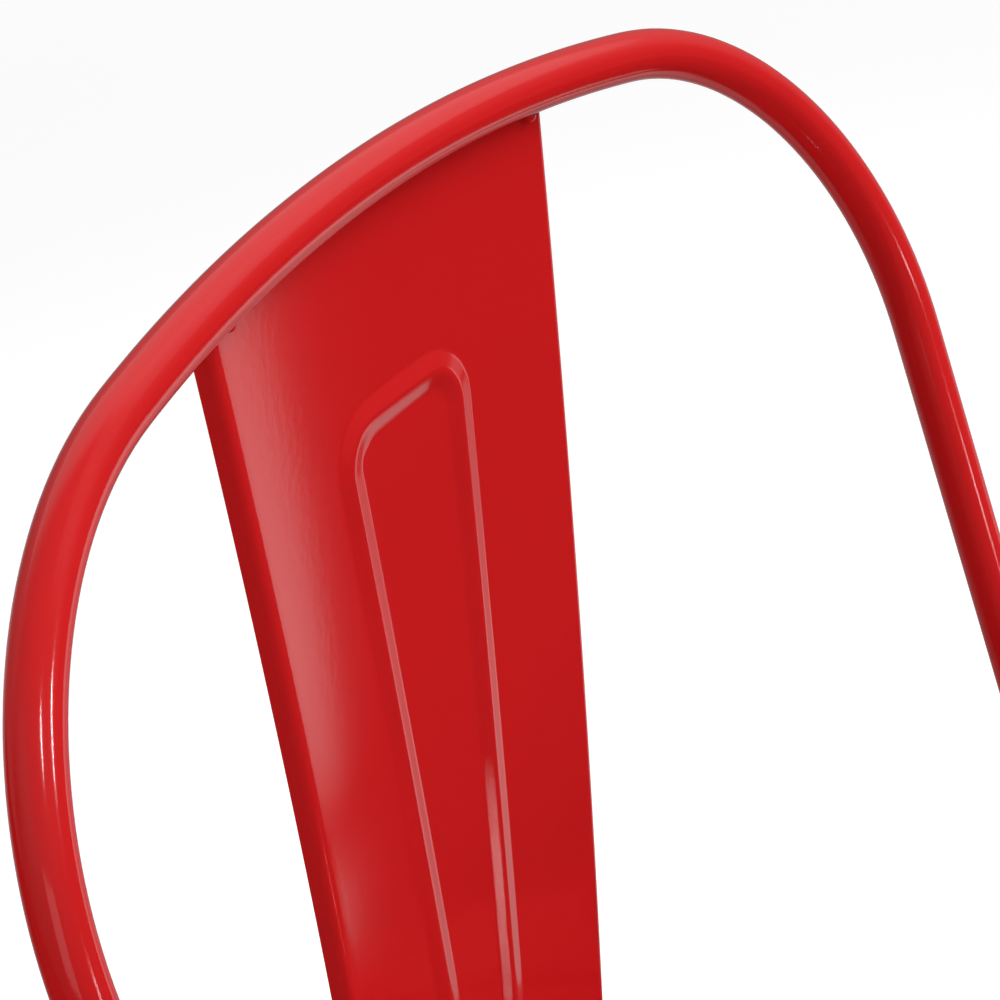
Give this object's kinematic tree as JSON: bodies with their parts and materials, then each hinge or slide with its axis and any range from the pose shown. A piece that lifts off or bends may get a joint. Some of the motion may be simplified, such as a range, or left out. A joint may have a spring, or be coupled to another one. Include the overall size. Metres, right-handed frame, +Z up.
{
  "type": "dining chair",
  "caption": "Metal bistro chair with a bent tube back hoop, a pressed back splat with a raised rib, a pressed metal seat and splayed sheet legs.",
  "frame": {"origin": "on the floor under the middle of the chair's outer box", "axes": "+Z up, the front of the seat faces -Y, +X to the right of someone looking at the back from the front"},
  "size_m": [0.432, 0.49, 0.8492],
  "materials": {
    "paint": "gloss",
    "zinc": "satin",
    "rubber": "matte"
  },
  "bodies": {
    "root": {"back_hoop": "paint", "back_splat": "paint", "seat_pan": "paint", "hoop_plug_right": "rubber", "hoop_plug_left": "rubber", "front_leg_right": "paint", "front_leg_left": "paint", "front_glide_right": "rubber", "front_glide_left": "rubber", "front_lug_left": "paint", "front_lug_right": "paint", "rear_leg_right": "paint", "rear_leg_left": "paint", "rear_glide_right": "rubber", "rear_glide_left": "rubber", "rear_lug_right": "paint", "rear_lug_left": "paint", "gusset_right": "paint", "gusset_left": "paint", "brace_lower": "paint", "brace_upper": "paint", "leg_cap_right": "paint", "leg_cap_left": "paint", "brace_rivet_centre": "zinc", "brace_rivets_end": "zinc", "splat_rivets": "paint", "seat_bolts": "zinc", "seat_spacers": "zinc", "seat_nuts": "zinc", "glide_screws": "zinc", "stack_bumpers": "rubber", "splat_welds": "paint"}
  },
  "joints": []
}
